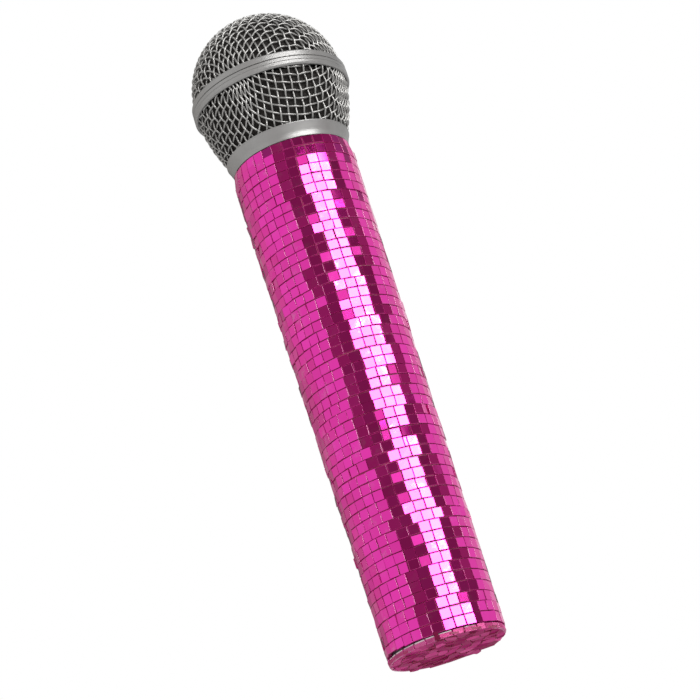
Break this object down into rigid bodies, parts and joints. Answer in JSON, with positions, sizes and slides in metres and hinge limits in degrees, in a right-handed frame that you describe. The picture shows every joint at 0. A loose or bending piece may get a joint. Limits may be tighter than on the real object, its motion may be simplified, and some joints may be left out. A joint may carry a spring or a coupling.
{
  "type": "toy microphone",
  "caption": "Hand-held toy microphone with a woven wire ball head and a thick handle covered in pink mirror tiles.",
  "frame": {"origin": "centre of the flat tiled end, on its outer face", "axes": "+Z along the microphone's axis from the flat end to the top of the ball head; +Y away from the side that the circuit board is on"},
  "size_m": [0.051, 0.051, 0.2141],
  "materials": {
    "tube": "moulded",
    "grout": "rough grout and glue",
    "pink_mirror": "pink mirror glass",
    "end_mirror": "dusky pink mirror glass",
    "end_plate": "sawn edge",
    "satin_silver": "satin",
    "silver_wire": "drawn wire",
    "black_foam": "open-cell foam",
    "black_plastic": "moulded",
    "black_rubber": "moulded rubber",
    "steel": "plated",
    "dark_metal": "blackened",
    "magnet": "ground",
    "copper": "enamelled wire",
    "film": "thin polyester film",
    "lead_sleeve": "insulated wire",
    "tray": "moulded",
    "cell_sleeve": "plain shrink sleeve",
    "contact": "sprung brass",
    "circuit_board": "solder mask",
    "capacitor_sleeve": "shrink sleeve",
    "lamp": "clear tinted",
    "knob": "moulded"
  },
  "bodies": {
    "handle": {"handle_tube": "tube", "grout_bed": "grout", "side_mirror_tiles": "pink_mirror", "neck": "black_plastic", "neck_board": "circuit_board", "neck_socket": "black_plastic", "neck_board_screws": "steel", "capsule_mount": "black_rubber", "capsule_housing": "steel", "capsule_yoke": "steel", "capsule_magnet": "magnet", "capsule_pole": "steel", "voice_coil": "copper", "diaphragm": "film", "capsule_cap": "dark_metal", "capsule_leads": "lead_sleeve"},
    "washer": {"collar_washer": "black_rubber"},
    "head": {"collar": "satin_silver", "bowl_grille": "silver_wire", "dome_grille": "silver_wire", "bowl_band": "satin_silver", "dome_band": "satin_silver", "ring_liner": "dark_metal", "bowl_foam": "black_foam", "dome_foam": "black_foam"},
    "transmitter": {"end_mirror_pieces": "end_mirror", "end_plate": "end_plate", "end_plug": "black_plastic", "plug_o_ring": "black_rubber", "transmitter_tray": "tray", "tray_screws": "steel", "lower_cell": "cell_sleeve", "upper_cell": "cell_sleeve", "cell_spring": "steel", "cell_contact": "contact", "circuit_board": "circuit_board", "board_screws": "steel", "shield_can": "steel", "audio_chip": "black_plastic", "capacitors": "capacitor_sleeve", "status_lamp": "lamp", "antenna_coil": "copper", "board_header": "black_plastic", "switch_case": "dark_metal"},
    "switch": {"switch_knob": "knob"}
  },
  "joints": [
    {"name": "head_lift", "type": "slide", "parent": "handle", "child": "washer", "axis": [0, 0, 1], "range_m": [0, 0.006]},
    {"name": "head_turn", "type": "hinge", "parent": "washer", "child": "head", "pos_m": [0, 0, 0.17], "axis": [0, 0, 1], "range_deg": [0, 1440]},
    {"name": "transmitter_pull", "type": "slide", "parent": "handle", "child": "transmitter", "axis": [0, 0, -1], "range_m": [0, 0.11]},
    {"name": "power_switch", "type": "slide", "parent": "transmitter", "child": "switch", "axis": [0, 0, 1], "range_m": [0, 0.0025]}
  ],
  "couplings": [
    {"joint": "head_lift", "follows": "head_turn", "m_per_rad": 0.00023873}
  ]
}
